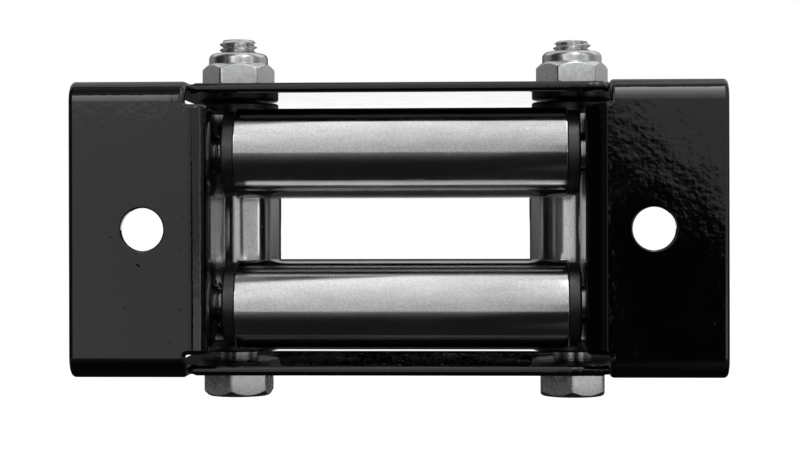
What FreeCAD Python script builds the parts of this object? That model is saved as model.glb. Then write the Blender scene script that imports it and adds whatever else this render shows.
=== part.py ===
import FreeCAD, Part
import math
import os
import re
import Sketcher

# Roller fairlead for a small winch. A bent sheet frame is bolted to a bumper by its two ears.
# Two rollers lie across the rope window and two stand behind them, each on a long bolt.
# Axes: X runs along the bolt holes, Z is up, Y runs back from the mounting face, which is Y = 0.
# The origin is on that face, midway between the two mounting holes. All sizes are millimetres.

SIZES = {
    # Frame sheet
    "sheet_thickness": 2.5,
    "bend_radius": 5.0,
    "edge_rounding": 1.1,
    "hole_rim_rounding": 0.4,
    "mount_spacing": 124.0,
    "mount_hole_radius": 5.25,
    "ear_margin": 18.0,
    "ear_flange_depth": 22.0,
    "ear_flange_corner": 6.0,
    "step_corner": 5.0,
    "flange_recess": 9.0,
    "slit_width": 0.5,
    "slit_length": 4.0,
    "notch_land": 0.7,
    "notch_height": 3.25,
    "notch_fillet": 0.6,
    "wall_margin": 12.0,
    "wall_corner": 5.0,
    "rear_margin": 14.0,
    "side_margin": 13.3,
    "rear_corner": 10.0,
    # Rope window and the rollers round it
    "rope_gap_height": 15.2,
    "rope_gap_width": 66.6,
    "roller_setback": 8.6,
    "roller_spacing_depth": 7.2,
    "flange_clearance": 3.35,
    "roller_radius": 11.4,
    "tube_bore_radius": 8.25,
    "tube_end_rounding": 0.5,
    "across_tube_length": 83.2,
    "across_play": 1.2,
    "upper_roller_shift": 0.4,
    "lower_roller_shift": 0.6,
    "upright_play_top": 0.3,
    "upright_play_bottom": 1.2,
    # Flanged bushings
    "bushing_flange_radius": 10.7,
    "bushing_flange_thickness": 3.0,
    "bushing_rim_rounding": 0.6,
    "bushing_spigot_length": 12.0,
    "spigot_clearance": 0.05,
    "running_clearance": 0.08,
    # Hexagon bolts, lock nuts and washers
    "bolt_radius": 5.0,
    "bolt_hole_clearance": 0.25,
    "bolt_end_chamfer": 1.0,
    "across_bolt_length": 110.0,
    "left_bolt_length": 88.8,
    "right_bolt_length": 88.0,
    "hexagon_width": 17.0,
    "head_height": 6.4,
    "washer_face_height": 0.4,
    "washer_face_radius": 7.9,
    "nut_height": 9.7,
    "nut_hexagon_height": 6.7,
    "nut_collar_radius": 7.9,
    "nut_collar_rounding": 1.6,
    "nut_countersink": 0.7,
    "thread_clearance": 0.03,
    "insert_radius": 6.8,
    "insert_bottom": 7.1,
    "insert_top": 9.1,
    "insert_clearance": 0.03,
    "collar_lip_radius": 6.1,
    "washer_overhang": 0.2,
    "bottom_washer_thickness": 2.0,
    "top_washer_thickness": 1.0,
    "washer_chamfer": 0.3,
}

# How far each hexagon is turned about its bolt, in degrees, as the photograph shows them
LEFT_NUT_TURN = 7.4
RIGHT_NUT_TURN = 5.9
LEFT_HEAD_TURN = 24.0
RIGHT_HEAD_TURN = 27.2

# Places that follow from the sizes, as expressions in the sheet's names
ROLLER_HEIGHT = "(rope_gap_height / 2 + roller_radius)"
INNER_HALF_HEIGHT = f"({ROLLER_HEIGHT} + roller_radius + flange_clearance)"
HALF_HEIGHT = f"({INNER_HALF_HEIGHT} + sheet_thickness)"
HALF_WIDTH = "(mount_spacing / 2 + ear_margin)"
ACROSS_DEPTH = "(roller_setback + roller_radius)"
UPRIGHT_DEPTH = f"({ACROSS_DEPTH} + 2 * roller_radius + roller_spacing_depth)"
UPRIGHT_OFFSET = "(rope_gap_width / 2 + roller_radius)"
WALL_INNER = "(across_tube_length / 2 + bushing_flange_thickness + across_play)"
WALL_OUTER = f"({WALL_INNER} + sheet_thickness)"
WALL_DEPTH = f"({ACROSS_DEPTH} + wall_margin)"
WALL_HALF_HEIGHT = f"({INNER_HALF_HEIGHT} - notch_height)"
EAR_EDGE = f"({WALL_INNER} + bend_radius + notch_land)"
SLIT_END = "(flange_recess + slit_length)"
FLANGE_DEPTH = f"({UPRIGHT_DEPTH} + rear_margin)"
REAR_HALF_WIDTH = f"({UPRIGHT_OFFSET} + side_margin)"
UPRIGHT_TUBE_LENGTH = (
    f"(2 * {INNER_HALF_HEIGHT} - 2 * bushing_flange_thickness - upright_play_top - upright_play_bottom)"
)
UPRIGHT_CENTRE = "((upright_play_bottom - upright_play_top) / 2)"
BOLT_HOLE_RADIUS = "(bolt_radius + bolt_hole_clearance)"
HEXAGON_CORNER = "(hexagon_width / sqrt(3))"
WASHER_RADIUS = f"({HEXAGON_CORNER} + washer_overhang)"

UP = FreeCAD.Vector(0, 0, 1)
ACROSS = FreeCAD.Vector(0, 1, 0)

# How near an edge has to lie to a place, in millimetres, and to a right angle, in degrees
EDGE_REACH = 0.01
RIGHT_ANGLE_SLACK = 5.0

# Hexagons: the chamfer starts at this share of the width and falls at this angle, in degrees
CHAMFER_START = 0.475
CHAMFER_FALL = 30

# Length by which a cutting profile runs past the solid that it cuts
PAST = 1.0

doc = FreeCAD.newDocument("roller_fairlead")


def make_sheet():
    """Put every driving dimension in a spreadsheet cell with its name as alias."""
    sheet = doc.addObject("Spreadsheet::Sheet", "Sizes")
    for row, (name, number) in enumerate(SIZES.items(), start=1):
        sheet.set(f"A{row}", name)
        sheet.set(f"B{row}", str(number))
        sheet.setAlias(f"B{row}", name)
    doc.recompute()
    return sheet


def bound(text):
    """Turn names of sizes inside an expression into references to the sheet."""
    return re.sub(r"[a-z_]{3,}", lambda word: f"Sizes.{word[0]}" if word[0] in SIZES else word[0], text)


sizes = make_sheet()


def value(text):
    """Number that an expression has now."""
    return float(sizes.evalExpression(bound(text)))


def new_body(label):
    body = doc.addObject("PartDesign::Body", label)
    body.Label = label
    return body


def new_sketch(body, name, role, height="0"):
    """Sketch on one of the body's own origin planes, moved along that plane's normal."""
    plane = next(part for part in body.Origin.OriginFeatures if part.Role == role)
    sketch = body.newObject("Sketcher::SketchObject", name)
    sketch.AttachmentSupport = [(plane, "")]
    sketch.MapMode = "FlatFace"
    sketch.setExpression("AttachmentOffset.Base.z", bound(height))
    return sketch


def fix_point(sketch, geometry, vertex, x, y):
    """Tie one point of a sketch to two coordinates."""
    for kind, text in (("DistanceX", x), ("DistanceY", y)):
        number = sketch.addConstraint(Sketcher.Constraint(kind, -1, 1, geometry, vertex, value(text)))
        sketch.setExpression(f"Constraints[{number}]", bound(text))


def fix_radius(sketch, geometry, radius):
    number = sketch.addConstraint(Sketcher.Constraint("Radius", geometry, value(radius)))
    sketch.setExpression(f"Constraints[{number}]", bound(radius))


def draw_circle(sketch, x, y, radius):
    circle = Part.Circle(FreeCAD.Vector(value(x), value(y), 0), UP, value(radius))
    geometry = sketch.addGeometry(circle, False)
    fix_point(sketch, geometry, 3, x, y)
    fix_radius(sketch, geometry, radius)


def rounding(before, corner, after, radius):
    """Tangent points and centre of an arc that rounds a corner."""
    to_before = (before - corner).normalize()
    to_after = (after - corner).normalize()
    half_angle = to_before.getAngle(to_after) / 2
    reach = radius / math.tan(half_angle)
    middle = (to_before + to_after).normalize()
    centre = corner + middle * (radius / math.sin(half_angle))
    return corner + to_before * reach, corner + to_after * reach, centre


def draw_outline(sketch, corners):
    """Closed outline through corners; a third entry of a corner is the radius that rounds it."""
    points = [FreeCAD.Vector(value(corner[0]), value(corner[1]), 0) for corner in corners]
    count = len(corners)
    starts = list(points)
    ends = [points[(i + 1) % count] for i in range(count)]
    arcs = {}
    for i, corner in enumerate(corners):
        if len(corner) == 3:
            radius = value(corner[2])
            first, last, centre = rounding(points[i - 1], points[i], points[(i + 1) % count], radius)
            ends[i - 1] = first
            starts[i] = last
            arcs[i] = (first, last, centre, radius)
    lines = [sketch.addGeometry(Part.LineSegment(starts[i], ends[i]), False) for i in range(count)]
    for i, corner in enumerate(corners):
        before = lines[i - 1]
        after = lines[i]
        if i not in arcs:
            sketch.addConstraint(Sketcher.Constraint("Coincident", before, 2, after, 1))
            fix_point(sketch, after, 1, corner[0], corner[1])
            continue
        first, last, centre, radius = arcs[i]
        turns_left = (first - points[i]).cross(last - points[i]).z < 0
        begin, finish = (first, last) if turns_left else (last, first)
        angles = [math.atan2(point.y - centre.y, point.x - centre.x) for point in (begin, finish)]
        arc = sketch.addGeometry(Part.ArcOfCircle(Part.Circle(centre, UP, radius), *angles), False)
        joined = (1, 2) if turns_left else (2, 1)
        sketch.addConstraint(Sketcher.Constraint("Tangent", before, 2, arc, joined[0]))
        sketch.addConstraint(Sketcher.Constraint("Tangent", after, 1, arc, joined[1]))
        fix_radius(sketch, arc, corner[2])
        apex = sketch.addGeometry(Part.Point(points[i]), True)
        sketch.addConstraint(Sketcher.Constraint("PointOnObject", apex, 1, before))
        sketch.addConstraint(Sketcher.Constraint("PointOnObject", apex, 1, after))
        fix_point(sketch, apex, 1, corner[0], corner[1])


def negated(text):
    return f"(-1 * {text})"


def add_pad(body, name, sketch, length, symmetric=False):
    pad = body.newObject("PartDesign::Pad", name)
    pad.Profile = sketch
    pad.setExpression("Length", bound(length))
    pad.Midplane = symmetric
    doc.recompute()
    return pad


def add_pocket(body, name, sketch, length, symmetric=False):
    """Pocket that has to take material away."""
    before = body.Shape.Volume
    pocket = body.newObject("PartDesign::Pocket", name)
    pocket.Profile = sketch
    pocket.setExpression("Length", bound(length))
    pocket.Midplane = symmetric
    doc.recompute()
    if body.Shape.Volume >= before:
        raise RuntimeError(f"{name} cuts nothing")
    return pocket


def add_revolution(body, name, corners):
    """Solid turned about the body's own Z axis; corners are radius and height."""
    sketch = new_sketch(body, name + "_profile", "XZ_Plane")
    draw_outline(sketch, corners)
    turned = body.newObject("PartDesign::Revolution", name)
    turned.Profile = sketch
    turned.ReferenceAxis = (sketch, ["V_Axis"])
    turned.Angle = 360
    doc.recompute()
    return turned


def add_groove(body, name, corners):
    """Cut turned about the body's own Z axis; corners are radius and height."""
    before = body.Shape.Volume
    sketch = new_sketch(body, name + "_profile", "XZ_Plane")
    draw_outline(sketch, corners)
    groove = body.newObject("PartDesign::Groove", name)
    groove.Profile = sketch
    groove.ReferenceAxis = (sketch, ["V_Axis"])
    groove.Angle = 360
    doc.recompute()
    if body.Shape.Volume >= before:
        raise RuntimeError(f"{name} cuts nothing")
    return groove


def add_fillet(body, name, chosen, radius):
    """Round the edges of the body's last feature for which chosen(edge) is true."""
    base = body.Tip
    edges = [f"Edge{i}" for i, edge in enumerate(base.Shape.Edges, start=1) if chosen(edge)]
    fillet = body.newObject("PartDesign::Fillet", name)
    fillet.Base = (base, edges)
    fillet.setExpression("Radius", bound(radius))
    doc.recompute()
    return fillet


def near(number, text):
    return abs(abs(number) - value(text)) < EDGE_REACH


def runs_along(edge, axis):
    """True for a straight edge parallel to an axis, 0 for X, 1 for Y or 2 for Z."""
    if not isinstance(edge.Curve, Part.Line):
        return False
    return abs(abs(edge.Curve.Direction[axis]) - 1) < 1e-6


def place(body, x="0", y="0", z="0", axis=UP, turn=0):
    body.Placement.Rotation = FreeCAD.Rotation(axis, turn)
    for letter, text in (("x", x), ("y", y), ("z", z)):
        body.setExpression(f"Placement.Base.{letter}", bound(text))


# Frame: one sheet, cut and bent. It takes the most skill of all the pieces
def add_flange(body, name, bottom):
    """Flat flange that carries the upright bolts, wide at the ears and stepped in behind them."""
    sketch = new_sketch(body, name + "_outline", "XY_Plane", bottom)
    right = [
        (HALF_WIDTH, "bend_radius"),
        (HALF_WIDTH, "ear_flange_depth", "ear_flange_corner"),
        (REAR_HALF_WIDTH, "ear_flange_depth", "step_corner"),
        (REAR_HALF_WIDTH, FLANGE_DEPTH, "rear_corner"),
    ]
    left = [(negated(corner[0]),) + corner[1:] for corner in reversed(right)]
    draw_outline(sketch, right + left)
    add_pad(body, name, sketch, "sheet_thickness")


def add_channel(body):
    """Front plate with its two long bends, drawn as a section and run across the whole width."""
    inner = f"({HALF_HEIGHT} - sheet_thickness)"
    inner_bend = "(bend_radius - sheet_thickness)"
    upper = [
        ("0", HALF_HEIGHT, "bend_radius"),
        (SLIT_END, HALF_HEIGHT),
        (SLIT_END, inner),
        ("sheet_thickness", inner, inner_bend),
    ]
    lower = [(corner[0], negated(corner[1])) + corner[2:] for corner in reversed(upper)]
    section = new_sketch(body, "channel_section", "YZ_Plane")
    draw_outline(section, upper + lower)
    add_pad(body, "channel", section, f"2 * {HALF_WIDTH}", symmetric=True)


def add_window(body):
    """Rope window between the ears, cut back past the long bends, and the four slits at its ends."""
    over = f"({HALF_HEIGHT} + sheet_thickness)"
    window = new_sketch(body, "window_outline", "XZ_Plane")
    draw_outline(window, [
        (negated(EAR_EDGE), negated(over)),
        (EAR_EDGE, negated(over)),
        (EAR_EDGE, over),
        (negated(EAR_EDGE), over),
    ])
    add_pocket(body, "window", window, "flange_recess")
    slits = new_sketch(body, "slit_outlines", "XY_Plane")
    slit_start = "(flange_recess - slit_width)"
    slit_inner = f"({EAR_EDGE} - slit_width)"
    for side in (lambda text: text, negated):
        draw_outline(slits, [
            (side(slit_inner), slit_start),
            (side(EAR_EDGE), slit_start),
            (side(EAR_EDGE), SLIT_END),
            (side(slit_inner), SLIT_END),
        ])
    add_pocket(body, "slits", slits, f"2 * {over}", symmetric=True)


def add_walls(body):
    """Side walls that carry the lying rollers, bent back from the ears' inner ends."""
    inner_bend = "(bend_radius - sheet_thickness)"
    overlap = f"({EAR_EDGE} + sheet_thickness)"
    plan = new_sketch(body, "wall_plans", "XY_Plane")
    for side in (lambda text: text, negated):
        draw_outline(plan, [
            (side(overlap), "0"),
            (side(WALL_INNER), "0", "bend_radius"),
            (side(WALL_INNER), WALL_DEPTH),
            (side(WALL_OUTER), WALL_DEPTH),
            (side(WALL_OUTER), "sheet_thickness", inner_bend),
            (side(overlap), "sheet_thickness"),
        ])
    add_pad(body, "walls", plan, f"2 * {WALL_HALF_HEIGHT}", symmetric=True)

    def is_notch_corner(edge):
        middle = edge.CenterOfMass
        return runs_along(edge, 1) and near(middle.x, EAR_EDGE) and near(middle.z, WALL_HALF_HEIGHT)

    def is_wall_corner(edge):
        middle = edge.CenterOfMass
        return runs_along(edge, 0) and near(middle.y, WALL_DEPTH) and near(middle.z, WALL_HALF_HEIGHT)

    add_fillet(body, "notch_fillets", is_notch_corner, "notch_fillet")
    add_fillet(body, "wall_corners", is_wall_corner, "wall_corner")


def add_frame_holes(body):
    """Mounting holes in the ears, and the holes of the four roller bolts."""
    mounts = new_sketch(body, "mount_hole_circles", "XZ_Plane")
    across = new_sketch(body, "across_hole_circles", "YZ_Plane")
    upright = new_sketch(body, "upright_hole_circles", "XY_Plane")
    for side in (lambda text: text, negated):
        draw_circle(mounts, side("(mount_spacing / 2)"), "0", "mount_hole_radius")
        draw_circle(across, ACROSS_DEPTH, side(ROLLER_HEIGHT), BOLT_HOLE_RADIUS)
        draw_circle(upright, side(UPRIGHT_OFFSET), UPRIGHT_DEPTH, BOLT_HOLE_RADIUS)
    add_pocket(body, "mount_holes", mounts, "bend_radius")
    add_pocket(body, "across_holes", across, f"2 * {HALF_WIDTH}", symmetric=True)
    add_pocket(body, "upright_holes", upright, f"2 * ({HALF_HEIGHT} + {PAST})", symmetric=True)


def add_cut_edges(body):
    """Soften each edge where a face of the sheet meets a cut face, hole rims less than the rest."""
    shape = body.Tip.Shape

    def normal(face, point):
        return face.normalAt(*face.Surface.parameter(point))

    def is_cut_edge(edge):
        faces = shape.ancestorsOfType(edge, Part.Face)
        crosses_sheet = isinstance(edge.Curve, Part.Line) and near(edge.Length, "sheet_thickness")
        if len(faces) != 2 or crosses_sheet:
            return False
        point = edge.valueAt((edge.FirstParameter + edge.LastParameter) / 2)
        angle = math.degrees(normal(faces[0], point).getAngle(normal(faces[1], point)))
        return abs(angle - 90) < RIGHT_ANGLE_SLACK

    def is_hole_rim(edge):
        return isinstance(edge.Curve, Part.Circle) and edge.isClosed()

    add_fillet(body, "cut_edges", lambda edge: is_cut_edge(edge) and not is_hole_rim(edge), "edge_rounding")
    add_fillet(body, "hole_rims", is_hole_rim, "hole_rim_rounding")


def make_frame():
    body = new_body("frame")
    add_channel(body)
    add_flange(body, "upper_flange", INNER_HALF_HEIGHT)
    add_flange(body, "lower_flange", negated(HALF_HEIGHT))
    add_window(body)
    add_walls(body)
    add_frame_holes(body)

    add_cut_edges(body)
    return body


# Steel tubes of the four rollers
def make_tube(label, length, **spot):
    body = new_body(label)
    half = f"({length} / 2)"
    add_revolution(body, label + "_turned", [
        ("tube_bore_radius", negated(half)),
        ("roller_radius", negated(half), "tube_end_rounding"),
        ("roller_radius", half, "tube_end_rounding"),
        ("tube_bore_radius", half),
    ])
    place(body, **spot)
    return body


# Nylon bushings, one in each end of a tube, with a flange that keeps the steel off the frame
def make_bushing(label, **spot):
    """The flange rises from height 0, and the spigot goes down into the tube."""
    body = new_body(label)
    bore = "(bolt_radius + running_clearance)"
    spigot = "(tube_bore_radius - spigot_clearance)"
    foot = negated("bushing_spigot_length")
    add_revolution(body, label + "_turned", [
        (bore, foot),
        (f"({spigot} - tube_end_rounding)", foot),
        (spigot, f"({foot} + 2 * tube_end_rounding)"),
        (spigot, "0"),
        ("bushing_flange_radius", "0"),
        ("bushing_flange_radius", "bushing_flange_thickness", "bushing_rim_rounding"),
        (bore, "bushing_flange_thickness"),
    ])
    place(body, **spot)
    return body


def draw_hexagon(sketch):
    """Hexagon with two corners on the sketch's X axis."""
    half = "(hexagon_width / 2)"
    side = f"({HEXAGON_CORNER} / 2)"
    draw_outline(sketch, [
        (HEXAGON_CORNER, "0"),
        (side, half),
        (negated(side), half),
        (negated(HEXAGON_CORNER), "0"),
        (negated(side), negated(half)),
        (side, negated(half)),
    ])


def add_hexagon_chamfer(body, name, face, towards):
    """Take the six corners off at 30 degrees where the hexagon ends."""
    inside = f"({CHAMFER_START} * hexagon_width)"
    outside = f"({HEXAGON_CORNER} + {PAST})"
    drop = f"(({outside} - {inside}) * tan({CHAMFER_FALL}))"
    add_groove(body, name, [
        (inside, face),
        (outside, f"({face} {towards} {drop})"),
        (outside, face),
    ])


# Hexagon bolts
def make_bolt(label, length, **spot):
    """The head's bearing face is at height 0, the shank rises from it and the head hangs below."""
    body = new_body(label)
    face_bottom = negated("washer_face_height")
    add_revolution(body, label + "_shank", [
        ("0", face_bottom),
        ("washer_face_radius", face_bottom),
        ("washer_face_radius", "0"),
        ("bolt_radius", "0"),
        ("bolt_radius", f"({length} - bolt_end_chamfer)"),
        ("(bolt_radius - bolt_end_chamfer)", length),
        ("0", length),
    ])
    hexagon = new_sketch(body, label + "_hexagon", "XY_Plane", negated("head_height"))
    draw_hexagon(hexagon)
    add_pad(body, label + "_head", hexagon, "head_height - washer_face_height")
    add_hexagon_chamfer(body, label + "_chamfer", negated("head_height"), "+")
    place(body, **spot)
    return body


# Lock nuts: a hexagon, a round collar and a nylon ring held under the collar's lip
def make_nut(label, **spot):
    """The bearing face is at height 0 and the collar is on top."""
    body = new_body(label)
    hexagon = new_sketch(body, label + "_hexagon", "XY_Plane")
    draw_hexagon(hexagon)
    add_pad(body, label + "_flats", hexagon, "nut_hexagon_height")
    add_hexagon_chamfer(body, label + "_lower_chamfer", "0", "+")
    add_hexagon_chamfer(body, label + "_upper_chamfer", "nut_hexagon_height", "-")
    add_revolution(body, label + "_collar", [
        ("0", "(nut_hexagon_height / 2)"),
        ("nut_collar_radius", "(nut_hexagon_height / 2)"),
        ("nut_collar_radius", "nut_height", "nut_collar_rounding"),
        ("0", "nut_height"),
    ])
    bore = "(bolt_radius + thread_clearance)"
    mouth = f"({bore} + nut_countersink)"
    seat = "(insert_radius + insert_clearance)"
    add_groove(body, label + "_bore", [
        ("0", f"-{PAST}"),
        (mouth, f"-{PAST}"),
        (mouth, "0"),
        (bore, "nut_countersink"),
        (bore, "insert_bottom"),
        (seat, "insert_bottom"),
        (seat, "insert_top"),
        ("collar_lip_radius", "insert_top"),
        ("collar_lip_radius", f"(nut_height + {PAST})"),
        ("0", f"(nut_height + {PAST})"),
    ])
    place(body, **spot)
    return body


def make_insert(label, **spot):
    """Nylon ring that grips the thread, at its place inside a nut that stands at height 0."""
    body = new_body(label)
    bore = "(bolt_radius + thread_clearance)"
    top = "(insert_top - insert_clearance)"
    add_revolution(body, label + "_turned", [
        (bore, "insert_bottom"),
        ("insert_radius", "insert_bottom"),
        ("insert_radius", top),
        (bore, top),
    ])
    place(body, **spot)
    return body


# Flat washers under the heads and nuts of the upright bolts
def make_washer(label, thickness, **spot):
    body = new_body(label)
    bevel_start = f"({thickness} - washer_chamfer)"
    add_revolution(body, label + "_turned", [
        (BOLT_HOLE_RADIUS, "0"),
        (WASHER_RADIUS, "0"),
        (WASHER_RADIUS, bevel_start),
        (f"({WASHER_RADIUS} - washer_chamfer)", thickness),
        (BOLT_HOLE_RADIUS, thickness),
    ])
    place(body, **spot)
    return body


def make_across_roller(name, height, shift):
    """Lying roller: tube, two bushings, and its bolt with the head on the right.

    The tube and bushings have slid to the right along the bolt by the shift."""
    line = {"y": ACROSS_DEPTH, "z": height, "axis": ACROSS}
    right_end = f"({shift} + across_tube_length / 2)"
    left_end = f"({shift} - across_tube_length / 2)"
    return [
        make_tube(f"{name}_tube", "across_tube_length", x=shift, turn=90, **line),
        make_bushing(f"{name}_bushing_right", x=right_end, turn=90, **line),
        make_bushing(f"{name}_bushing_left", x=left_end, turn=-90, **line),
        make_bolt(f"{name}_bolt", "across_bolt_length", x=WALL_OUTER, turn=-90, **line),
        make_nut(f"{name}_nut", x=negated(WALL_OUTER), turn=-90, **line),
        make_insert(f"{name}_nut_insert", x=negated(WALL_OUTER), turn=-90, **line),
    ]


def make_upright_roller(name, offset, bolt_length, head_turn, nut_turn):
    """Standing roller: tube, two bushings, and its bolt with the head below."""
    line = {"x": offset, "y": UPRIGHT_DEPTH}
    half = f"({UPRIGHT_TUBE_LENGTH} / 2)"
    top = f"({UPRIGHT_CENTRE} + {half})"
    foot = f"({UPRIGHT_CENTRE} - {half})"
    head_place = f"(-{HALF_HEIGHT} - bottom_washer_thickness)"
    nut_place = f"({HALF_HEIGHT} + top_washer_thickness)"
    return [
        make_tube(f"{name}_tube", UPRIGHT_TUBE_LENGTH, z=UPRIGHT_CENTRE, **line),
        make_bushing(f"{name}_bushing_top", z=top, **line),
        make_bushing(f"{name}_bushing_bottom", z=foot, axis=ACROSS, turn=180, **line),
        make_bolt(f"{name}_bolt", bolt_length, z=head_place, turn=head_turn, **line),
        make_washer(f"{name}_washer_bottom", "bottom_washer_thickness", z=negated(HALF_HEIGHT), axis=ACROSS,
                    turn=180, **line),
        make_washer(f"{name}_washer_top", "top_washer_thickness", z=HALF_HEIGHT, **line),
        make_nut(f"{name}_nut", z=nut_place, turn=nut_turn, **line),
        make_insert(f"{name}_nut_insert", z=nut_place, turn=nut_turn, **line),
    ]


pieces = [make_frame()]
pieces += make_across_roller("upper_roller", ROLLER_HEIGHT, "upper_roller_shift")
pieces += make_across_roller("lower_roller", negated(ROLLER_HEIGHT), "lower_roller_shift")
pieces += make_upright_roller(
    "left_roller", negated(UPRIGHT_OFFSET), "left_bolt_length", LEFT_HEAD_TURN, LEFT_NUT_TURN)
pieces += make_upright_roller(
    "right_roller", UPRIGHT_OFFSET, "right_bolt_length", RIGHT_HEAD_TURN, RIGHT_NUT_TURN)
doc.recompute()

for item in doc.Objects:
    if "Invalid" in item.State or "Error" in item.State:
        raise RuntimeError(f"{item.Name} failed: {item.State}")
for piece in pieces:
    if piece.Shape.isNull() or not piece.Shape.isValid() or len(piece.Shape.Solids) != 1:
        raise RuntimeError(f"{piece.Label} is not one valid solid")

os.makedirs("parts", exist_ok=True)
for piece in pieces:
    piece.Shape.exportStep(f"parts/{piece.Label}.step")
    print(piece.Label, round(piece.Shape.Volume, 1), piece.Shape.BoundBox)
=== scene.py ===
import bpy
import numpy as np
from mathutils import Matrix


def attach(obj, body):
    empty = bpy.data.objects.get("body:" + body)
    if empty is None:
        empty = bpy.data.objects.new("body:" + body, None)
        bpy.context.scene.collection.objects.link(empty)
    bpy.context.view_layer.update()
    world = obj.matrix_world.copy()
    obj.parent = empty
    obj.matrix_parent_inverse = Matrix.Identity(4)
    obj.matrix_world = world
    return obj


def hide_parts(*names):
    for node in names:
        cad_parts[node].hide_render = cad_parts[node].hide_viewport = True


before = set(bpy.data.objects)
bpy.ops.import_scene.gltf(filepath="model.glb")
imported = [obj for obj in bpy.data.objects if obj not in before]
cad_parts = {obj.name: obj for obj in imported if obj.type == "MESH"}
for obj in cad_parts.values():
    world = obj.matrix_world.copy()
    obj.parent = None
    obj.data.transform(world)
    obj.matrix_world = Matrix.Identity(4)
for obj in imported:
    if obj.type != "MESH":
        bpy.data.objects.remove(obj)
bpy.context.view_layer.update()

# Camera. The photograph was taken level, from in front of the mounting face and a little to the right
# of its middle, with a long lens. Its place was fitted to the frame's edges and to the rollers.
VIEWPOINT = np.array([0.02025, -0.450, 0.00193])
LENS_MM = 84.0
YAW_DEG, PITCH_DEG, ROLL_DEG = 2.47, -0.12, -0.13
yaw, pitch, roll = np.radians([YAW_DEG, PITCH_DEG, ROLL_DEG])
sight = np.array([-np.sin(yaw) * np.cos(pitch), np.cos(yaw) * np.cos(pitch), np.sin(pitch)])
level = np.array([np.cos(yaw), np.sin(yaw), 0.0])
upward = np.cross(level, sight)
right = level * np.cos(roll) + upward * np.sin(roll)
above = -level * np.sin(roll) + upward * np.cos(roll)
camera_data = bpy.data.cameras.new("front_camera")
camera_data.lens = LENS_MM
camera_data.sensor_width = 36.0
camera_data.clip_start = 0.01
camera = bpy.data.objects.new("front_camera", camera_data)
matrix = np.eye(4)
matrix[:3, 0], matrix[:3, 1], matrix[:3, 2], matrix[:3, 3] = right, above, -sight, VIEWPOINT
camera.matrix_world = Matrix(matrix.tolist())
bpy.context.scene.collection.objects.link(camera)
bpy.context.scene.camera = camera

# Frame. One 2.5 mm steel sheet, laser cut, folded at its ears, flanges and walls, then powder coated in
# gloss black. The coat is thick and flows a little: it has orange peel, and a few pits and specks of dust.
# Where the sheet was folded into the right side wall, its reflection is turned almost off: painted shade on
# that bend.
PAINT_COLOUR = (0.0015, 0.0015, 0.0016)
PEEL_WAVELENGTH = 0.0016
PEEL_DEPTH = 0.000030
WAVE_DEPTH = 0.000080
PIT_DEPTH = 0.000160
DUST_HEIGHT = 0.000060
PAINTED_SHADE_FOLD = (0.0452, 0.0505)
FOLD_FADE = 0.0004
LEFT_EAR_PITS = [(-0.0630, -0.0089, 0.00055), (-0.0661, -0.0190, 0.00022), (-0.0524, -0.0050, 0.00020),
                 (-0.0526, -0.0195, 0.00022), (-0.0553, -0.0274, 0.00018)]


def new_material(name):
    """Empty node material with a Principled shader; returns the material, its nodes, links and shader."""
    material = bpy.data.materials.new(name)
    material.use_nodes = True
    tree = material.node_tree
    return material, tree.nodes, tree.links, tree.nodes["Principled BSDF"]


def node(nodes, kind, **settings):
    """New shader node. Names that the node has are set as properties, and the rest as input values."""
    made = nodes.new(kind)
    for key, setting in settings.items():
        if hasattr(made, key):
            setattr(made, key, setting)
        else:
            made.inputs[key.replace("_", " ")].default_value = setting
    return made


def object_noise(nodes, links, scale, detail=2.0, stretch=(1.0, 1.0, 1.0), roughness=0.5):
    """Noise on the object's own coordinates, in features per metre, drawn out by stretch."""
    place = node(nodes, "ShaderNodeTexCoord")
    drawn = node(nodes, "ShaderNodeMapping")
    drawn.inputs["Scale"].default_value = stretch
    noise = node(nodes, "ShaderNodeTexNoise", Scale=scale, Detail=detail, Roughness=roughness)
    links.new(place.outputs["Object"], drawn.inputs["Vector"])
    links.new(drawn.outputs["Vector"], noise.inputs["Vector"])
    return noise.outputs["Fac"]


def object_cells(nodes, links, scale):
    """Distance to the nearest of scattered points, in cells of the given number per metre."""
    place = node(nodes, "ShaderNodeTexCoord")
    cells = node(nodes, "ShaderNodeTexVoronoi", Scale=scale)
    links.new(place.outputs["Object"], cells.inputs["Vector"])
    return cells


def remap(nodes, links, source, low, high, to_low, to_high):
    """Straight-line map of a value from one range to another, clamped at both ends."""
    ramp = node(nodes, "ShaderNodeMapRange", From_Min=low, From_Max=high, To_Min=to_low, To_Max=to_high)
    links.new(source, ramp.inputs["Value"])
    return ramp.outputs["Result"]


def multiply(nodes, links, first, second):
    """Product of two values."""
    product = node(nodes, "ShaderNodeMath", operation="MULTIPLY")
    links.new(first, product.inputs[0])
    links.new(second, product.inputs[1])
    return product.outputs["Value"]


def bump(nodes, links, height, depth, under=None):
    """Bump of the given depth in metres, laid over another bump where one is named."""
    made = node(nodes, "ShaderNodeBump", Distance=depth)
    links.new(height, made.inputs["Height"])
    if under is not None:
        links.new(under, made.inputs["Normal"])
    return made.outputs["Normal"]


def scattered(nodes, links, scale, size, share):
    """Mask that is 1 in small spots: the middles of some cells, chosen by the cells' own random colour."""
    cells = object_cells(nodes, links, scale)
    spot = remap(nodes, links, cells.outputs["Distance"], size, size * 0.5, 0.0, 1.0)
    chosen = remap(nodes, links, cells.outputs["Color"], share, share * 0.98, 0.0, 1.0)
    return multiply(nodes, links, spot, chosen)


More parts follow.
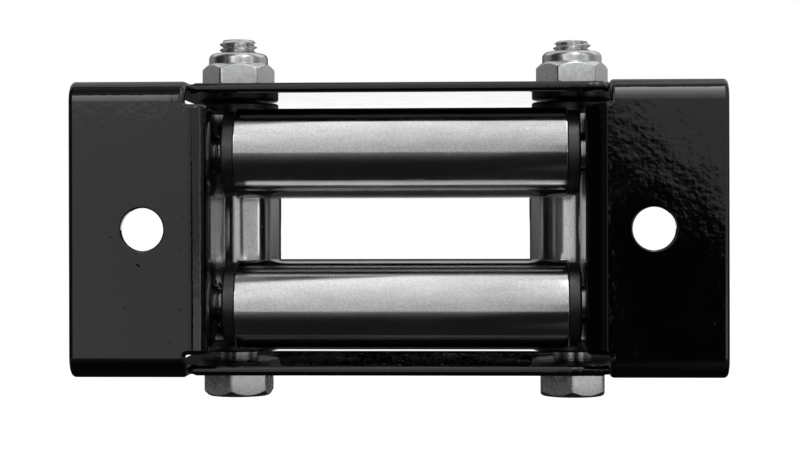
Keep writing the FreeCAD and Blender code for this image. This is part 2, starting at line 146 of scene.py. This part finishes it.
paint, nodes, links, shader = new_material("black_gloss_paint")
shader.inputs["Base Color"].default_value = (*PAINT_COLOUR, 1)
shader.inputs["IOR"].default_value = 1.6
peel = object_noise(nodes, links, 1 / PEEL_WAVELENGTH, detail=1.0)
broad = object_noise(nodes, links, 110.0, detail=1.0)
pits = scattered(nodes, links, 130.0, 0.055, 0.04)
place = node(nodes, "ShaderNodeTexCoord")
for x, z, radius in LEFT_EAR_PITS:
    apart = node(nodes, "ShaderNodeVectorMath", operation="DISTANCE")
    apart.inputs[1].default_value = (x, 0.0, z)
    links.new(place.outputs["Object"], apart.inputs[0])
    both = node(nodes, "ShaderNodeMath", operation="MAXIMUM")
    links.new(pits, both.inputs[0])
    links.new(remap(nodes, links, apart.outputs["Value"], radius, radius * 0.3, 0.0, 1.0), both.inputs[1])
    pits = both.outputs["Value"]
dust = scattered(nodes, links, 230.0, 0.07, 0.10)
surface = bump(nodes, links, broad, WAVE_DEPTH)
surface = bump(nodes, links, peel, PEEL_DEPTH, surface)
surface = bump(nodes, links, pits, -PIT_DEPTH, surface)
surface = bump(nodes, links, dust, DUST_HEIGHT, surface)
links.new(surface, shader.inputs["Normal"])
# Painted shade: on the bend into the right side wall, in front of 8 mm depth, the specular level falls from
# 0.5 to 0.03, which takes its reflection away.
parts = node(nodes, "ShaderNodeSeparateXYZ")
links.new(place.outputs["Object"], parts.inputs["Vector"])
past_wall = remap(nodes, links, parts.outputs["X"], PAINTED_SHADE_FOLD[0], PAINTED_SHADE_FOLD[0] + FOLD_FADE, 0.0, 1.0)
before_ear = remap(nodes, links, parts.outputs["X"], PAINTED_SHADE_FOLD[1] + FOLD_FADE, PAINTED_SHADE_FOLD[1], 0.0, 1.0)
in_front = remap(nodes, links, parts.outputs["Y"], 0.0080, 0.0060, 0.0, 1.0)
fold = multiply(nodes, links, multiply(nodes, links, past_wall, before_ear), in_front)
links.new(remap(nodes, links, fold, 0.0, 1.0, 0.5, 0.03), shader.inputs["Specular IOR Level"])
haze = object_noise(nodes, links, 60.0, detail=4.0)
links.new(remap(nodes, links, haze, 0.35, 0.7, 0.035, 0.075), shader.inputs["Roughness"])


def coat(name, material):
    """Give a CAD node its material."""
    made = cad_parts[name]
    made.data.materials.clear()
    made.data.materials.append(material)


coat("frame", paint)

# Roller tubes. Cold drawn steel tube, turned to length and polished, with a soft bloom on it. It is
# scattered with fine pits and small dents, and its colour varies a little along it.
STEEL_COLOUR = (0.66, 0.66, 0.66)
ROLLER_AXES = {"upper": (1, 0, 0), "lower": (1, 0, 0), "left": (0, 0, 1), "right": (0, 0, 1)}
GRIND_LEAN_DEG = {"upper": 7.0, "lower": -3.2, "left": 0.0, "right": 0.0}


def steel_material(name, axis, lean):
    """Polished steel whose fine marks run round the tube and whose bloom is drawn out along it.
    Its ground facets lean by an angle about the tube's axis, which turns its reflections by twice that."""
    material, nodes, links, shader = new_material(name)
    shader.inputs["Metallic"].default_value = 1.0
    along = [0.25 if part else 1.0 for part in axis]
    round_it = [1.0 if part else 0.05 for part in axis]
    bloom = object_noise(nodes, links, 260.0, detail=6.0, stretch=along, roughness=0.62)
    grain = object_noise(nodes, links, 2600.0, detail=3.0)
    tone = node(nodes, "ShaderNodeValToRGB")
    tone.color_ramp.elements[0].position = 0.36
    tone.color_ramp.elements[0].color = (*[part * 0.82 for part in STEEL_COLOUR], 1)
    tone.color_ramp.elements[1].position = 0.64
    tone.color_ramp.elements[1].color = (*[part * 1.14 for part in STEEL_COLOUR], 1)
    mixed = node(nodes, "ShaderNodeMix", data_type="FLOAT")
    mixed.inputs["Factor"].default_value = 0.5
    links.new(bloom, mixed.inputs["A"])
    links.new(grain, mixed.inputs["B"])
    links.new(mixed.outputs["Result"], tone.inputs["Fac"])
    links.new(tone.outputs["Color"], shader.inputs["Base Color"])
    links.new(remap(nodes, links, bloom, 0.3, 0.7, 0.09, 0.16), shader.inputs["Roughness"])
    lay = object_noise(nodes, links, 2600.0, detail=2.0, stretch=round_it)
    specks = scattered(nodes, links, 610.0, 0.12, 0.20)
    dents = scattered(nodes, links, 143.0, 0.04, 0.10)
    smooth = node(nodes, "ShaderNodeNewGeometry")
    leaning = node(nodes, "ShaderNodeVectorRotate", Axis=axis, Angle=np.radians(lean))
    links.new(smooth.outputs["Normal"], leaning.inputs["Vector"])
    surface = bump(nodes, links, lay, 0.0000006, leaning.outputs["Vector"])
    surface = bump(nodes, links, grain, 0.0000035, surface)
    surface = bump(nodes, links, specks, -0.00002, surface)
    surface = bump(nodes, links, dents, -0.00003, surface)
    links.new(surface, shader.inputs["Normal"])
    return material


for side, axis in ROLLER_AXES.items():
    coat(f"{side}_roller_tube", steel_material(f"{side}_tube_steel", axis, GRIND_LEAN_DEG[side]))

# Bushings. Flanged sleeves turned from black nylon rod, pressed into the ends of each tube. They have
# fine lathe marks, a dull sheen, and scuffs where the flange rubs on the frame.
nylon, nodes, links, shader = new_material("black_nylon")
shader.inputs["Base Color"].default_value = (0.009, 0.009, 0.009, 1)
shader.inputs["IOR"].default_value = 1.7
rub = object_noise(nodes, links, 420.0, detail=5.0, roughness=0.65)
links.new(remap(nodes, links, rub, 0.35, 0.65, 0.24, 0.40), shader.inputs["Roughness"])
turned = object_noise(nodes, links, 1900.0, detail=3.0)
nicks = scattered(nodes, links, 380.0, 0.14, 0.16)
surface = bump(nodes, links, turned, 0.000012)
surface = bump(nodes, links, nicks, -0.00006, surface)
links.new(surface, shader.inputs["Normal"])
for side, axis in ROLLER_AXES.items():
    for end in ("right", "left") if axis[0] else ("top", "bottom"):
        coat(f"{side}_roller_bushing_{end}", nylon)

# Hexagon bolts. M10 steel bolts, cold headed and rolled, zinc plated: one through each roller, with its
# head on the right of the lying rollers and below the standing ones. The threads are cut here.
BOLT_RADIUS = 0.0050
THREAD_PITCH = 0.0015
THREAD_DEPTH = 0.00088
THREAD_LENGTH = 0.030
THREAD_RUNOUT = 0.0018
HEX_WIDTH = 0.017
HEAD_HEIGHT = 0.0064
WASHER_FACE = (0.0079, 0.0004)
CHAMFER_RADIUS = 0.475 * HEX_WIDTH
CHAMFER_SLOPE = np.tan(np.radians(42))
END_CHAMFER = 0.0010
EDGE_BREAK = 0.00018
HEX_SHARPNESS = 40.0
ZINC_COLOUR = (0.70, 0.71, 0.72)

zinc, nodes, links, shader = new_material("zinc_plate")
shader.inputs["Metallic"].default_value = 1.0
cloud = object_noise(nodes, links, 700.0, detail=6.0, roughness=0.7)
tone = node(nodes, "ShaderNodeValToRGB")
tone.color_ramp.elements[0].position = 0.30
tone.color_ramp.elements[0].color = (*[part * 0.78 for part in ZINC_COLOUR], 1)
tone.color_ramp.elements[1].position = 0.70
tone.color_ramp.elements[1].color = (*[part * 1.16 for part in ZINC_COLOUR], 1)
links.new(cloud, tone.inputs["Fac"])
links.new(tone.outputs["Color"], shader.inputs["Base Color"])
links.new(remap(nodes, links, cloud, 0.3, 0.7, 0.20, 0.34), shader.inputs["Roughness"])
grit = object_noise(nodes, links, 2200.0, detail=3.0)
marks = scattered(nodes, links, 300.0, 0.10, 0.2)
surface = bump(nodes, links, grit, 0.000012)
surface = bump(nodes, links, marks, -0.00006, surface)
links.new(surface, shader.inputs["Normal"])


def hexagon_angles():
    """Angles round a hexagon, closer together near its six corners than along its flats."""
    share = np.linspace(0, 1, 20, endpoint=False)
    eased = share - 0.92 * np.sin(2 * np.pi * share) / (2 * np.pi)
    return (np.arange(6)[:, None] + eased[None, :]).ravel() * np.pi / 3


def hexagon_radius(angles):
    """Half the width over the p-norm of the cosines to the six flats, which rounds the corners slightly."""
    flats = (np.arange(6) + 0.5) * np.pi / 3
    facing = np.clip(np.cos(angles[:, None] - flats[None, :]), 0, None)
    return HEX_WIDTH / 2 / (facing ** HEX_SHARPNESS).sum(1) ** (1 / HEX_SHARPNESS)


def turned_surface(name, profile, angles, loop=False):
    """Surface of rows of (radius, height), each one number or one per angle round Z. A row of zero radius
    is one pole. With loop, the last row joins the first. Normals sum the faces' area vectors."""
    radii, heights = (np.array([np.broadcast_to(row[part], angles.shape) for row in profile])
                      for part in (0, 1))
    rows, columns = radii.shape
    points = np.stack([radii * np.cos(angles), radii * np.sin(angles), heights], axis=2)
    is_pole = np.all(radii < 1e-9, axis=1)
    number = np.zeros((rows, columns), int)
    counts = np.where(is_pole, 1, columns)
    starts = np.concatenate([[0], np.cumsum(counts)[:-1]])
    number[:] = starts[:, None] + np.where(is_pole[:, None], 0, np.arange(columns)[None, :])
    vertices = np.concatenate([points[i, :1] if is_pole[i] else points[i] for i in range(rows)])
    lower = number if loop else number[:-1]
    upper = np.roll(number, -1, axis=0) if loop else number[1:]
    quads = np.stack([lower, np.roll(lower, -1, axis=1), np.roll(upper, -1, axis=1), upper], axis=2)
    quads = quads.reshape(-1, 4)
    faces = [list(dict.fromkeys(quad)) for quad in quads.tolist()]
    mesh = bpy.data.meshes.new(name)
    mesh.from_pydata(vertices.tolist(), [], faces)
    corners = vertices[quads]
    areas = np.cross(corners[:, 2] - corners[:, 0], corners[:, 3] - corners[:, 1])
    normals = np.zeros_like(vertices)
    for corner in range(4):
        np.add.at(normals, quads[:, corner], areas)
    normals /= np.maximum(np.linalg.norm(normals, axis=1, keepdims=True), 1e-20)
    return mesh, vertices, normals


def spot(mesh, vertices, normals, centre, axis, turn):
    """Put a piece made about Z at its bolt: turned about its own line, then stood along axis at centre."""
    axis = np.array(axis, float)
    side = np.array([0.0, 1.0, 0.0])
    across = np.cross(side, axis)
    spin = np.radians(turn)
    first = across * np.cos(spin) + side * np.sin(spin)
    second = -across * np.sin(spin) + side * np.cos(spin)
    basis = np.stack([first, second, axis])
    mesh.vertices.foreach_set("co", (vertices @ basis + np.array(centre)).ravel())
    mesh.polygons.foreach_set("use_smooth", [True] * len(mesh.polygons))
    mesh.update()
    mesh.normals_split_custom_set_from_vertices((normals @ basis).tolist())


def hexagon_end(outline, height, towards):
    """Rows of a chamfered hexagon's end, from its middle out to the flats: face, cone and the breaks."""
    span = outline - CHAMFER_RADIUS
    fall = towards * CHAMFER_SLOPE
    return [
        (CHAMFER_RADIUS - EDGE_BREAK, height),
        (CHAMFER_RADIUS + EDGE_BREAK, height + fall * EDGE_BREAK),
        (outline - EDGE_BREAK, height + fall * (span - EDGE_BREAK)),
        (outline, height + fall * span + towards * EDGE_BREAK),
    ]


def bolt_head_rows(angles):
    """Rows from the pole of the head's outer face, over its flats, to the rim of its bearing face."""
    outline = hexagon_radius(angles)
    rim, under = WASHER_FACE[0], -WASHER_FACE[1]
    return [
        (0, -HEAD_HEIGHT),
        *hexagon_end(outline, -HEAD_HEIGHT, 1),
        (outline, under - EDGE_BREAK),
        (outline - EDGE_BREAK, under),
        (rim, under),
        (rim, -EDGE_BREAK),
        (rim - EDGE_BREAK, 0),
        (BOLT_RADIUS + EDGE_BREAK, 0),
        (BOLT_RADIUS, EDGE_BREAK),
    ]


def thread_rows(angles, length):
    """Rows up the shank: plain, then a helix of V-shaped grooves that deepens over the run-out, and the
    end chamfer. The groove's depth is a triangle wave of height over pitch minus angle over a turn."""
    start = length - THREAD_LENGTH
    heights = np.arange(start, length - 0.00002, THREAD_PITCH / 14)
    phase = (heights[:, None] / THREAD_PITCH - angles[None, :] / (2 * np.pi)) % 1
    groove = np.clip(1.25 - np.abs(phase - 0.5) * 2.9, 0, 1)
    depth = THREAD_DEPTH * np.clip((heights - start) / THREAD_RUNOUT, 0, 1)
    radii = BOLT_RADIUS - depth[:, None] * groove
    limit = BOLT_RADIUS - np.clip(heights - (length - END_CHAMFER), 0, None)
    radii = np.minimum(radii, limit[:, None])
    end = np.minimum(radii[-1], BOLT_RADIUS - END_CHAMFER)
    return [*zip(radii, heights), (end, length), (0, length)]


def make_bolt(name, centre, axis, turn, length):
    """Head and threaded shank in one surface, with a pole at each end."""
    angles = hexagon_angles()
    rows = bolt_head_rows(angles) + thread_rows(angles, length)
    mesh, vertices, normals = turned_surface(name, rows, angles)
    spot(mesh, vertices, normals, centre, axis, turn)
    return mesh


def add_piece(name, mesh, material, replaced):
    """Show a mesh on the frame in place of a CAD node."""
    mesh.materials.append(material)
    piece = bpy.data.objects.new(name, mesh)
    bpy.context.scene.collection.objects.link(piece)
    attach(piece, "frame")
    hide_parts(replaced)


LYING_DEPTH, LYING_HEIGHT = 0.020, 0.019
STANDING_DEPTH, STANDING_OFFSET = 0.050, 0.0447
WALL_OUTER = 0.0483
HEAD_SEAT = -0.03825
NUT_SEAT = 0.03725
LYING = {"upper": LYING_HEIGHT, "lower": -LYING_HEIGHT}
STANDING = {"left": (-STANDING_OFFSET, 24.0, 7.4, 0.0888), "right": (STANDING_OFFSET, 27.2, 5.9, 0.0880)}
for side, height in LYING.items():
    mesh = make_bolt(f"{side}_bolt", (WALL_OUTER, LYING_DEPTH, height), (-1, 0, 0), 0, 0.110)
    add_piece(f"{side}_bolt", mesh, zinc, f"{side}_roller_bolt")
for side, (offset, head_turn, nut_turn, length) in STANDING.items():
    mesh = make_bolt(f"{side}_bolt", (offset, STANDING_DEPTH, HEAD_SEAT), (0, 0, 1), head_turn, length)
    add_piece(f"{side}_bolt", mesh, zinc, f"{side}_roller_bolt")

# Lock nuts. M10 zinc plated nuts with a round collar, rolled over a nylon ring that grips the thread.
# The ring itself is the CAD node, and each nut bears on the frame's wall or on a washer.
NUT_HEIGHT = 0.0097
NUT_FLATS = 0.0067
COLLAR_RADIUS = 0.0079
COLLAR_ROUNDING = 0.0016
LIP_RADIUS = 0.0061
RING_SEAT = (0.00683, 0.0071, 0.0091)
NUT_BORE = 0.00503
COUNTERSINK = 0.0007


def make_nut(name, centre, axis, turn):
    """Closed section carried round: bore, countersink, lower end, flats, upper end, collar, lip and seat."""
    angles = hexagon_angles()
    outline = hexagon_radius(angles)
    arc = np.radians(np.linspace(0, 90, 9))
    inside = COLLAR_RADIUS - COLLAR_ROUNDING * (1 - np.cos(arc))
    upward = NUT_HEIGHT - COLLAR_ROUNDING * (1 - np.sin(arc))
    rows = [
        (NUT_BORE, COUNTERSINK),
        (NUT_BORE + COUNTERSINK, 0),
        *hexagon_end(outline, 0, 1),
        *hexagon_end(outline, NUT_FLATS, -1)[::-1],
        (COLLAR_RADIUS, NUT_FLATS + EDGE_BREAK),
        *zip(inside, upward),
        (LIP_RADIUS, NUT_HEIGHT),
        (LIP_RADIUS, RING_SEAT[2]),
        (RING_SEAT[0], RING_SEAT[2]),
        (RING_SEAT[0], RING_SEAT[1]),
        (NUT_BORE, RING_SEAT[1]),
    ]
    mesh, vertices, normals = turned_surface(name, rows, angles, loop=True)
    spot(mesh, vertices, normals, centre, axis, turn)
    return mesh


ring, nodes, links, shader = new_material("nylon_ring")
shader.inputs["Base Color"].default_value = (0.62, 0.60, 0.54, 1)
shader.inputs["Roughness"].default_value = 0.45
shader.inputs["Subsurface Weight"].default_value = 0.15
shader.inputs["Subsurface Scale"].default_value = 0.0008
links.new(bump(nodes, links, object_noise(nodes, links, 1600.0), 0.00002), shader.inputs["Normal"])
for side, height in LYING.items():
    mesh = make_nut(f"{side}_nut", (-WALL_OUTER, LYING_DEPTH, height), (-1, 0, 0), 0)
    add_piece(f"{side}_nut", mesh, zinc, f"{side}_roller_nut")
    coat(f"{side}_roller_nut_insert", ring)
for side, (offset, head_turn, nut_turn, length) in STANDING.items():
    mesh = make_nut(f"{side}_nut", (offset, STANDING_DEPTH, NUT_SEAT), (0, 0, 1), nut_turn)
    add_piece(f"{side}_nut", mesh, zinc, f"{side}_roller_nut")
    coat(f"{side}_roller_nut_insert", ring)

# Washers. Stamped and plated, one under the head and one under the nut of each standing bolt.
for side in STANDING:
    for end in ("top", "bottom"):
        coat(f"{side}_roller_washer_{end}", zinc)

# Studio. A wide curved diffuser in front, bright overhead and dimmer towards the horizon, is the main lamp.
# Dim walls and a dark table are what the gloss and the metal show elsewhere. The floor is pale.
FLOOR_HEIGHT = -0.120
SHELL_RADIUS = 0.60


def smooth_step(value, start, end):
    """0 before start, 1 after end, and 3t^2 - 2t^3 of the share t in between."""
    share = np.clip((value - start) / (end - start), 0, 1)
    return share * share * (3 - 2 * share)


def shell(name, azimuths, elevations, radius, glow):
    """Part of a sphere about the object, by azimuth from the front and elevation, seen from inside.
    Its brightness is a function of the two angles, kept as a value at each point."""
    across, up = np.meshgrid(np.radians(azimuths), np.radians(elevations))
    points = np.stack([np.cos(up) * np.sin(across), -np.cos(up) * np.cos(across), np.sin(up)], axis=2)
    rows, columns = across.shape
    mesh = bpy.data.meshes.new(name)
    number = np.arange(rows * columns).reshape(rows, columns)
    quads = np.stack([number[:-1, :-1], number[1:, :-1], number[1:, 1:], number[:-1, 1:]], axis=2)
    mesh.from_pydata((radius * points).reshape(-1, 3).tolist(), [], quads.reshape(-1, 4).tolist())
    kept = mesh.attributes.new("glow", "FLOAT", "POINT")
    kept.data.foreach_set("value", glow(np.degrees(across), np.degrees(up)).astype(np.float32).ravel())
    return mesh


def stage_object(name, mesh, material, camera=False, diffuse=True):
    """Object of the studio. Only the floor is seen by the camera and catches or casts shadows."""
    mesh.materials.append(material)
    made = bpy.data.objects.new(name, mesh)
    bpy.context.scene.collection.objects.link(made)
    made.visible_camera = camera
    made.visible_diffuse = diffuse
    made.visible_shadow = camera
    return made


def band(value, start, end, edge):
    """1 between start and end, falling to 0 over the edge's width outside them."""
    return smooth_step(value, start - edge, start) * (1 - smooth_step(value, end, end + edge))


def bank_glow(across, up):
    """Brightness of the diffuser: rises with elevation and falls from left to right, with a bright upright
    strip at its right end, a bright foot on the right that the bolt heads show, and a dark card low down
    beside the camera, whose top slopes."""
    rise = 0.56 + 0.62 * np.clip(up, 0, 90) / 79
    slope = 1 - 0.012 * np.clip(across, -22, 14)
    left = 0.14 + 0.86 * smooth_step(across, -27, -22)
    strip = 1.0 * band(across, 61.5, 65, 1)
    top = 5.8 - 0.83 * (across - 9.4)
    card = band(across, 7.6, 16.5, 1.2) * (1 - smooth_step(up, top - 2.2, top + 1.2))
    foot = 1 + 0.9 * band(across, 17, 60, 3) * (1 - smooth_step(up, -5, -1))
    return (rise * slope * left * foot + strip) * (1 - card)


def rear_glow(across, up):
    """The upper part of the walls behind the object, which only views from behind show."""
    return 0.5 * band(across, 110, 250, 10) * smooth_step(up, 20, 34)


def right_wall_glow(across, up):
    """Dim, brighter above the horizon in two steps towards the back."""
    side = 0.21 * band(across, 60, 150, 8) + 0.2 * band(across, 106, 150, 8)
    return 0.02 + 0.03 * band(across, 60, 150, 8) + side * smooth_step(up, -6, 10) + rear_glow(across, up)


def left_wall_glow(across, up):
    """Dim, with a brighter part above the horizon beside the object and a soft band next to the diffuser."""
    beyond = 0.22 * band(across, 212, 255, 8) * smooth_step(up, -8, 10) + rear_glow(across, up)
    return 0.02 + beyond + 0.13 * band(across, 304, 311, 2) + 0.06 * smooth_step(across, 313, 320)


def back_glow(across, up):
    """Dim below the upper part."""
    return 0.05 + rear_glow(across, up)


glowing = bpy.data.materials.new("studio_glow")
glowing.use_nodes = True
nodes, links = glowing.node_tree.nodes, glowing.node_tree.links
nodes.clear()
brightness = node(nodes, "ShaderNodeAttribute", attribute_name="glow")
emission = node(nodes, "ShaderNodeEmission")
output = node(nodes, "ShaderNodeOutputMaterial")
links.new(brightness.outputs["Fac"], emission.inputs["Strength"])
links.new(emission.outputs["Emission"], output.inputs["Surface"])

LIT_FROM_BELOW = -11
for name, azimuths, low, glow, lights in (
    ("light_bank", np.arange(-28, 67, 1.0), LIT_FROM_BELOW, bank_glow, True),
    ("right_wall", np.arange(66, 175, 2.0), LIT_FROM_BELOW, right_wall_glow, False),
    ("left_wall", np.arange(190, 333, 1.0), LIT_FROM_BELOW, left_wall_glow, False),
    ("back_wall", np.arange(174, 191, 2.0), 8, back_glow, False),
):
    mesh = shell(name, azimuths, np.linspace(low, 90, 102), SHELL_RADIUS, glow)
    stage_object(name, mesh, glowing, diffuse=lights)

# Two sheets lean over the ears from just above the mounting face. Each is a strip of a cylinder about a
# line along X, whose brightness is read from a table of elevations. They draw the lines on the bends.
SHEET_RADIUS = 0.25
SHEET_LINE = (0.002, 0.032)
SHEETS = {
    "left": (-0.062, -0.034, -0.150,
             [2.5, 4, 8, 30, 34, 38, 60, 90], [0.8, 0.95, 1.5, 2.8, 3.2, 0.3, 0.12, 0.3]),
    "right": (0.060, 0.007, 0.125,
              [2.5, 6, 21, 50, 64, 69, 73, 90], [0.52, 0.62, 1.3, 2.9, 4.6, 5.7, 0.4, 0.3]),
}
for side, (inner, flare, outer, elevations, brightnesses) in SHEETS.items():
    climb = np.radians(np.linspace(2.5, 90, 90))
    widths = np.linspace(0, 1, 3)
    edge = inner + flare * np.cos(climb)
    across = edge[:, None] + (outer - edge[:, None]) * widths[None, :]
    ahead = SHEET_LINE[0] - SHEET_RADIUS * np.cos(climb)
    height = SHEET_LINE[1] + SHEET_RADIUS * np.sin(climb)
    points = np.stack([across, ahead[:, None] + 0 * across, height[:, None] + 0 * across], axis=2)
    rows, columns = across.shape
    number = np.arange(rows * columns).reshape(rows, columns)
    quads = np.stack([number[:-1, :-1], number[:-1, 1:], number[1:, 1:], number[1:, :-1]], axis=2)
    mesh = bpy.data.meshes.new(f"{side}_sheet")
    mesh.from_pydata(points.reshape(-1, 3).tolist(), [], quads.reshape(-1, 4).tolist())
    kept = mesh.attributes.new("glow", "FLOAT", "POINT")
    glow = np.interp(np.degrees(climb), elevations, brightnesses)[:, None] + 0 * across
    kept.data.foreach_set("value", glow.astype(np.float32).ravel())
    stage_object(f"{side}_sheet", mesh, glowing, diffuse=False)

# Two cards far behind: a black one above the horizon, which the inner face of the bottom flange shows, and
# a bright one below it, which the inner face of the top flange shows.
CARD_SPREAD, CARD_DEPTH = 0.4, 1.2
for name, foot, head, glow in (("black_card", 0.003, 0.40, 0.0), ("bright_card", -0.118, -0.003, 1.37)):
    mesh = bpy.data.meshes.new(name)
    corners = [(-CARD_SPREAD, foot), (CARD_SPREAD, foot), (CARD_SPREAD, head), (-CARD_SPREAD, head)]
    mesh.from_pydata([(x, CARD_DEPTH, z) for x, z in corners], [], [(0, 1, 2, 3)])
    kept = mesh.attributes.new("glow", "FLOAT", "POINT")
    kept.data.foreach_set("value", np.full(4, glow, dtype=np.float32))
    stage_object(name, mesh, glowing, diffuse=False)


def table_mesh():
    """Disc just over the floor, by distance and azimuth, lighter towards its front edge."""
    reach, around = np.meshgrid(np.linspace(0.001, 0.60, 31), np.linspace(0, 2 * np.pi, 181))
    height = np.full_like(reach, FLOOR_HEIGHT + 0.001)
    points = np.stack([reach * np.cos(around), reach * np.sin(around), height], axis=2)
    rows, columns = reach.shape
    number = np.arange(rows * columns).reshape(rows, columns)
    quads = np.stack([number[:-1, :-1], number[:-1, 1:], number[1:, 1:], number[1:, :-1]], axis=2)
    mesh = bpy.data.meshes.new("dark_table")
    mesh.from_pydata(points.reshape(-1, 3).tolist(), [], quads.reshape(-1, 4).tolist())
    kept = mesh.attributes.new("glow", "FLOAT", "POINT")
    bearing = np.degrees(np.arctan2(points[:, :, 0], -points[:, :, 1]))
    near = 0.012 + 0.19 * smooth_step(reach, 0.12, 0.60) * (1 - 0.95 * band(bearing, 6, 27, 2))
    near += 0.05 * band(bearing, 28, 75, 6) * smooth_step(reach, 0.06, 0.14)
    kept.data.foreach_set("value", near.astype(np.float32).ravel())
    return mesh


stage_object("dark_table", table_mesh(), glowing, diffuse=False)

floor_mesh = bpy.data.meshes.new("floor")
SPREAD = 4.0
corners = [(-SPREAD, -SPREAD), (SPREAD, -SPREAD), (SPREAD, SPREAD), (-SPREAD, SPREAD)]
floor_mesh.from_pydata([(x, y, FLOOR_HEIGHT) for x, y in corners], [], [(0, 1, 2, 3)])
pale = bpy.data.materials.new("pale_floor")
pale.use_nodes = True
nodes, links = pale.node_tree.nodes, pale.node_tree.links
shader = nodes["Principled BSDF"]
shader.inputs["Base Color"].default_value = (0.88, 0.88, 0.88, 1)
shader.inputs["Roughness"].default_value = 0.9
shader.inputs["Emission Color"].default_value = (1, 1, 1, 1)


def seen_rays(nodes, links):
    """1 for a ray from the camera, from a reflection or through glass, and 0 for the rest."""
    rays = node(nodes, "ShaderNodeLightPath")
    first = node(nodes, "ShaderNodeMath", operation="ADD")
    both = node(nodes, "ShaderNodeMath", operation="ADD", use_clamp=True)
    links.new(rays.outputs["Is Camera Ray"], first.inputs[0])
    links.new(rays.outputs["Is Glossy Ray"], first.inputs[1])
    links.new(first.outputs["Value"], both.inputs[0])
    links.new(rays.outputs["Is Transmission Ray"], both.inputs[1])
    return both.outputs["Value"]


links.new(remap(nodes, links, seen_rays(nodes, links), 0, 1, 0.0, 0.62), shader.inputs["Emission Strength"])
stage_object("floor", floor_mesh, pale, camera=True)

world = bpy.data.worlds.new("white_studio")
bpy.context.scene.world = world
world.use_nodes = True
nodes, links = world.node_tree.nodes, world.node_tree.links
background = nodes["Background"]
background.inputs["Color"].default_value = (1, 1, 1, 1)
links.new(remap(nodes, links, seen_rays(nodes, links), 0, 1, 0.45, 1.0), background.inputs["Strength"])
bpy.context.scene.view_settings.view_transform = "Standard"
